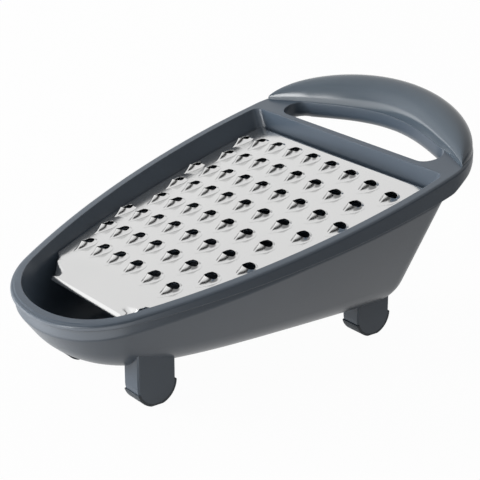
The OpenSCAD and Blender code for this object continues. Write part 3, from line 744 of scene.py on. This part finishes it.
def tooth_line(share):
    """The tooth's outline at this share of the way from foot to mouth"""
    return [blend(p, q, share) for p, q in zip(foot, mouth)]


def tooth_heights(share):
    return [h * share * share * (3 - share) / 2 for h in mouth_heights]


tooth_rings = []
for share in RISE_SHARES:
    line = zip(tooth_line(share), tooth_heights(share))
    tooth_rings.append([Vector((p.x, p.y, TOOTH_SEAT + h)) for p, h in line])
edge = moved_out(mouth, lambda p: -2 * TOOTH_LIP)
tooth_rings.append([Vector((q.x, q.y, h - TOOTH_LIP)) for q, h in zip(edge, mouth_heights)])
for share in UNDER_SHARES:
    line = zip(tooth_line(share), tooth_heights(share))
    tooth_rings.append([Vector((p.x, p.y, max(h - TOOTH_SKIN, LEAST_UNDER))) for p, h in line])
tooth_rings.append([Vector((p.x, p.y, ROOT_DEPTH)) for p in tooth_line(ROOT_SHARE)])
tooth = drawn_down("tooth", tooth_rings)
bpy.ops.object.mode_set(mode="EDIT")
bpy.ops.mesh.select_all(action="SELECT")
bpy.ops.mesh.flip_normals()
bpy.ops.object.mode_set(mode="OBJECT")
hole_rings = [[Vector((p.x, p.y, z)) for p in tooth_line(HOLE_SHARE)] for z in (HOLE_TOP, HOLE_FOOT)]
cutter = drawn_down("cutter", hole_rings, closed=True)
filled(cutter, lambda p: True)
outwards(cutter)

# eight staggered rows of teeth, from the flange to the tab, each tooth square to the arch
ROWS, TOOTH_PITCH, ROW_PITCH = (9, 8, 9, 8, 7, 8, 7, 6), 12.0, 13.67
teeth, cutters = [], []
for row, count in enumerate(ROWS):
    for k in range(count):
        u, v = (k - (count - 1) / 2) * TOOTH_PITCH, ((len(ROWS) - 1) / 2 - row) * ROW_PITCH
        turn = Matrix.Rotation(SHEET_SLOPE, 4, "X") @ Matrix.Rotation(math.asin(u / ARCH_RADIUS), 4, "Y")
        stand = Matrix.Translation(from_sheet(u, v, arch(u)) * MM) @ turn
        for made, kept in ((tooth, teeth), (cutter, cutters)):
            copy = made.copy()
            copy.data = made.data.copy()
            copy.data.transform(stand)
            bpy.context.collection.objects.link(copy)
            kept.append(copy)
for made in (tooth, cutter):
    bpy.data.objects.remove(made)
punches = joined(*cutters)
modified(plate, "BOOLEAN", operation="DIFFERENCE", solver="EXACT", object=punches)
bpy.data.objects.remove(punches)
plate = joined(plate, *teeth)
smoothed(plate, 35, weighted=False)

# its finish: bright rolled stainless steel with a fine grain along the sheet
STEEL_DEEP, STEEL_PALE = (0.70, 0.70, 0.70, 1), (0.745, 0.745, 0.74, 1)
LINES_SCALE, LINES_STRETCH, LINES_STRENGTH, LINES_DEPTH = 700.0, (1, 0.05, 1), 0.012, 0.1
FILM_SCALE, STEEL_ROUGH, LINES_ROUGH, FILM_ROUGH = 30.0, 0.13, 0.03, 0.03
steel = Finish("rolled stainless")
lines = steel.grain(LINES_SCALE, FINE_DETAIL, LINES_STRETCH)
film = steel.grain(FILM_SCALE, FINE_DETAIL)
steel.shade(Base_Color=steel.mixed(film, STEEL_DEEP, STEEL_PALE))
steel.shade(Metallic=1.0, Roughness=STEEL_ROUGH + lines * LINES_ROUGH + film * FILM_ROUGH)
steel.bumps(lines, LINES_STRENGTH, LINES_DEPTH * MM)
steel.put_on(plate)
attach(plate, "plate")
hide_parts("grater_plate")

# Soles. A soft dark grey rubber strip round the end of each foot, higher behind than in front,
# pressed into a step of the tongue and proud of it by about half a millimetre.
SOLE_INNER, SOLE_HEIGHT, SOLE_RISE, SOLE_STEPS = 7.8, 8.6, 2.6, 40
SOLE_EDGE, SOLE_EDGE_ANGLE = 0.3, math.radians(40)
RUBBER_DEEP, RUBBER_PALE = (0.036, 0.043, 0.051, 1), (0.046, 0.054, 0.063, 1)
RUBBER_ROUGH, SPECKLE_ROUGH, SPECKLE_SCALE = 0.55, 0.2, 1400.0
SPECKLE_STRENGTH, SPECKLE_DEPTH = 0.15, 0.2
rubber = Finish("soft rubber")
speckle = rubber.grain(SPECKLE_SCALE)
rubber.shade(Base_Color=rubber.mixed(speckle, RUBBER_DEEP, RUBBER_PALE))
rubber.shade(Roughness=RUBBER_ROUGH + speckle * SPECKLE_ROUGH)
rubber.bumps(speckle, SPECKLE_STRENGTH, SPECKLE_DEPTH * MM)
sole_top = Vector((0, FOOT_RADIUS - SOLE_FLAT))
round_end = half_round(FOOT_RADIUS, SOLE_STEPS)
arc = [p for p in round_end if p.y < SOLE_HEIGHT + p.x * SOLE_RISE / FOOT_RADIUS]
sole_line = [Vector((p.x, max(p.y, 0))) for p in arc]
sole_line += [sole_top + (p - sole_top) * (SOLE_INNER / FOOT_RADIUS) for p in reversed(arc)]
for name, side, y in FEET:
    middle = side * (FOOT_OUT - FOOT_WIDTH / 2)
    sides = (middle - FOOT_WIDTH / 2, middle + FOOT_WIDTH / 2)
    rings = [[Vector((x, y + p.x, p.y)) for p in sole_line] for x in sides]
    sole = drawn_down("sole_" + name, rings, closed=True)
    filled(sole, lambda p: True)
    outwards(sole)
    modified(sole, "BEVEL", width=SOLE_EDGE * MM, segments=3, limit_method="ANGLE",
             angle_limit=SOLE_EDGE_ANGLE)
    smoothed(sole, 40)
    rubber.put_on(sole)
    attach(sole, "base")
    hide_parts("foot_pad_" + name)

# Studio. A pale floor that turns white to the eye, a white room, three soft lamps and the camera.
# In reflections alone the floor is brighter in front of the nose and dimmer on the picture's right.
FLOOR_SIZE, FLOOR_GREY, FLOOR_ROUGH, WHITE = 12, (0.6, 0.6, 0.6, 1), 0.8, (1, 1, 1, 1)
LEFT, LEFT_FADE, RIGHT_SHARE = (-0.8, -0.6, 0), (-0.16, 0.0), 0.3
FRONT, FRONT_FADE = (0.1, -1, 0), (0.1, 0.15)
GLOW, FRONT_GLOW, GLOW_SHARE = 1.0, 3.6, 0.97
nothing_selected()
bpy.ops.mesh.primitive_plane_add(size=FLOOR_SIZE, location=(0, 0, 0))
floor = bpy.context.object
floor.name = "studio_floor"
pale = Finish("pale floor")
pale.shade(Base_Color=FLOOR_GREY, Roughness=FLOOR_ROUGH)
spot = pale.node("ShaderNodeTexCoord", out="Object")
to_the_left = pale.towards(spot, LEFT).eased(*LEFT_FADE, RIGHT_SHARE, 1.0)
in_front = pale.towards(spot, FRONT).eased(*FRONT_FADE, 0.0, 1.0)
glossy = pale.rays("Is Glossy Ray")
seen = pale.rays("Is Camera Ray") + glossy * to_the_left + pale.rays("Is Transmission Ray")
plain = pale.node("ShaderNodeEmission", values={"Color": WHITE, "Strength": GLOW})
bright = pale.node("ShaderNodeEmission", values={"Color": WHITE, "Strength": FRONT_GLOW})
glow = pale.node("ShaderNodeMixShader", values={0: glossy * in_front, 1: plain, 2: bright})
shaded = Wire(pale, pale.shader.outputs[0])
both = pale.node("ShaderNodeMixShader", values={0: seen * GLOW_SHARE, 1: shaded, 2: glow})
output = next(n for n in pale.tree.nodes if n.type == "OUTPUT_MATERIAL")
pale.feed(output.inputs[0], both)
pale.put_on(floor)

# a white room to the eye; shiny things see it pale, greyer on the right, with a dark strip across it
STRIP_ACROSS, STRIP_MIDDLE, STRIP_FADE = (-0.273, -0.816, -0.509), 0.075, (0.08, 0.15)
STRIP_END, STRIP_END_FADE = (-1, 0, 0), (0.38, 0.6)
PALE_SIDE, PALE_SIDE_FADE, PALE_SIDE_SHARES = (-0.85, -0.3, 0.43), (-0.5, -0.25), (0.24, 0.76)
PATCH, PATCH_FADE, PATCH_SHARES = (-0.79, -0.57, 0.21), (0.9, 0.97), (0.0, 0.24)
ROOM_LIGHT, DARK, MIRRORED_LIGHT, SHOWN_LIGHT = 0.3, 0.0, 1.25, 1.0


class Room(Finish):
    """The world, which nodes are added to as to a material"""

    def __init__(self, name):
        self.world = bpy.data.worlds.new(name)
        self.world.use_nodes = True
        self.tree = self.world.node_tree
        self.tree.nodes.clear()

    def wall(self, strength):
        return self.node("ShaderNodeBackground", values={0: WHITE, 1: strength})


room = Room("white room")
bpy.context.scene.world = room.world
sky = room.node("ShaderNodeTexCoord", out="Generated")
strip = abs(room.towards(sky, STRIP_ACROSS) - STRIP_MIDDLE).eased(*STRIP_FADE, 0.0, 1.0)
past_strip = room.towards(sky, STRIP_END).eased(*STRIP_END_FADE, 0.0, 1.0)
pale_side = room.towards(sky, PALE_SIDE).eased(*PALE_SIDE_FADE, *PALE_SIDE_SHARES)
patch = room.towards(sky, PATCH).eased(*PATCH_FADE, *PATCH_SHARES)
share = strip.most(past_strip) * (pale_side + patch)
walls = {0: share, 1: room.wall(DARK), 2: room.wall(MIRRORED_LIGHT)}
mirrored_room = room.node("ShaderNodeMixShader", values=walls)
glossy = room.rays("Is Glossy Ray")
lit = room.node("ShaderNodeMixShader", values={0: glossy, 1: room.wall(ROOM_LIGHT), 2: mirrored_room})
eye = room.rays("Is Camera Ray").most(room.rays("Is Transmission Ray"))
shown = room.node("ShaderNodeMixShader", values={0: eye, 1: lit, 2: room.wall(SHOWN_LIGHT)})
sky_output = room.tree.nodes.new("ShaderNodeOutputWorld")
room.feed(sky_output.inputs[0], shown)


def soft_lamp(name, place, height, size, power):
    """A square softbox, in metres and watts, that faces the object's axis at this height"""
    lamp = bpy.data.lights.new(name, "AREA")
    lamp.size, lamp.energy = size, power
    obj = bpy.data.objects.new(name, lamp)
    obj.location = place
    obj.rotation_euler = (Vector((0, 0, height)) - Vector(place)).to_track_quat("-Z", "Y").to_euler()
    bpy.context.collection.objects.link(obj)
    return obj


key = soft_lamp("key softbox", (-1.05, -0.8, 0.25), 0.04, 0.7, 36)
glint = soft_lamp("strip softbox", (-0.28, -1.2, 0.35), 0.06, 0.2, 7)
glint.data.shape, glint.data.size_y = "RECTANGLE", 0.8
top = soft_lamp("top softbox", (-0.6, 0.9, 1.2), 0.05, 2.0, 8)
key.visible_glossy = top.visible_glossy = False

AIM, REACH = Vector((8.09, -3.67, 47.69)) * MM, 649.1 * MM
TURN, LIFT = math.radians(52.97), math.radians(20.70)
lens = bpy.data.cameras.new("camera")
lens.lens, lens.sensor_width = 120.2, 36
camera = bpy.data.objects.new("camera", lens)
bpy.context.collection.objects.link(camera)
towards = Vector((math.sin(TURN) * math.cos(LIFT), -math.cos(TURN) * math.cos(LIFT), math.sin(LIFT)))
camera.location = AIM + towards * REACH
camera.rotation_euler = (-towards).to_track_quat("-Z", "Y").to_euler()
bpy.context.scene.camera = camera
bpy.context.scene.view_settings.view_transform = "Standard"
